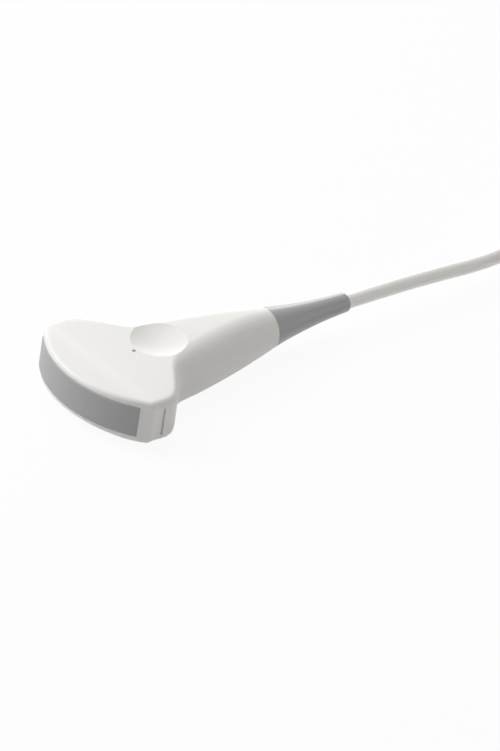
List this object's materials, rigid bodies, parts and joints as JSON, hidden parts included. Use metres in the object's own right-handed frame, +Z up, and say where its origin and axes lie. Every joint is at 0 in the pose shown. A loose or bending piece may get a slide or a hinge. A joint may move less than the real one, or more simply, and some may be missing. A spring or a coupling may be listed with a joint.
{
  "type": "ultrasound transducer probe",
  "caption": "Curved-array ultrasound probe with a grey lens band, thumb dimple, tapered strain relief, coiled cable and a locking system connector.",
  "frame": {"origin": "on the floor under the middle of the probe, taken without the cable and connector", "axes": "+X along the probe from the lens to the cable, +Y across it, +Z up"},
  "size_m": [0.441, 0.081, 0.0384],
  "materials": {
    "housing": "fine moulded satin",
    "marker": "pad printed dark plug",
    "lens": "smooth grey silicone",
    "matching": "filled epoxy",
    "piezo": "ground ceramic",
    "backing": "cast filled epoxy",
    "carrier": "milled",
    "flex": "polyimide film",
    "board": "solder mask",
    "socket": "moulded nylon",
    "brass": "turned",
    "gold": "plated",
    "wires": "bundled fine wires",
    "jacket": "satin extruded jacket",
    "clamp": "moulded nylon",
    "relief": "matte moulded elastomer",
    "tie": "woven hook strap",
    "connector": "fine moulded satin",
    "knob": "moulded",
    "steel": "turned"
  },
  "bodies": {
    "root": {"upper_shell": "housing", "lower_shell": "housing", "orientation_dot": "marker", "acoustic_lens": "lens", "outer_matching_layer": "matching", "inner_matching_layer": "matching", "piezo_array": "piezo", "backing_block": "backing", "array_carrier": "carrier", "flex_circuit_upper": "flex", "flex_circuit_lower": "flex", "interconnect_board_upper": "board", "interconnect_board_lower": "board", "connector_board": "board", "flex_sockets": "socket", "contact_insert": "socket", "board_spacers": "brass", "crimp_ferrule": "brass", "lock_bushing": "brass", "contact_pads": "gold", "coax_fanout": "wires", "cable_root": "jacket", "cable": "jacket", "cable_coil": "jacket", "cable_tail": "jacket", "connector_cable_end": "jacket", "cable_clamp_upper": "clamp", "cable_clamp_lower": "clamp", "strain_relief": "relief", "connector_boot": "relief", "coil_tie": "tie", "connector_base": "connector", "connector_cover": "connector", "cover_screws": "steel"},
    "lock": {"lock_shaft": "steel", "lock_knob": "knob", "lock_clip": "steel"}
  },
  "joints": [
    {"name": "lock_turn", "type": "hinge", "parent": "root", "child": "lock", "pos_m": [0.34, 0.009, 0.03], "axis": [0, 0, 1], "range_deg": [0, 90]}
  ]
}
